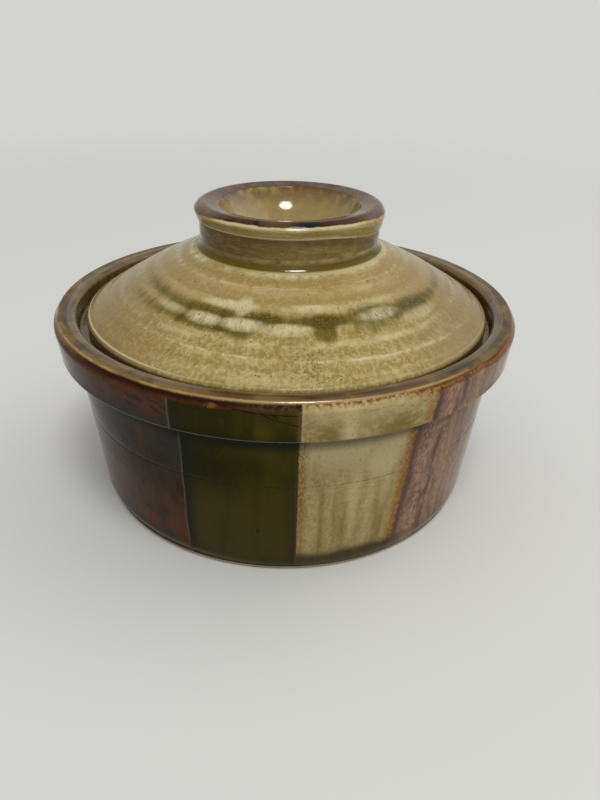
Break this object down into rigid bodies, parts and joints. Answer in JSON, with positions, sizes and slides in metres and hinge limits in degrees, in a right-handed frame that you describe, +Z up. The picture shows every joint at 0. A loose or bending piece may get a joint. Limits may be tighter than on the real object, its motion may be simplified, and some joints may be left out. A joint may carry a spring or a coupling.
{
  "type": "lidded stoneware bean pot",
  "caption": "Round stoneware bean pot with a loose domed lid that lifts out of a gallery inside the rim.",
  "frame": {"origin": "middle of the foot ring, on the surface that the pot stands on", "axes": "+Z up along the axis that the pot is turned about, -Y towards the viewer of the picture, +X to the viewer's right"},
  "size_m": [0.1642, 0.1642, 0.1043],
  "materials": {
    "panelled_glaze": "glossy glaze in upright panels of brown, olive green, straw and red-brown",
    "ash_glaze": "glossy straw ash glaze with green runs and iron specks",
    "knob_glaze": "glossy straw ash glaze with an iron brown rim"
  },
  "bodies": {
    "pot": {"pot_body": "panelled_glaze"},
    "lid": {"lid_dome": "ash_glaze", "lid_knob": "knob_glaze"}
  },
  "joints": [
    {"name": "lid_lift", "type": "slide", "parent": "pot", "child": "lid", "axis": [0, 0, 1], "range_m": [0, 0.12]}
  ]
}
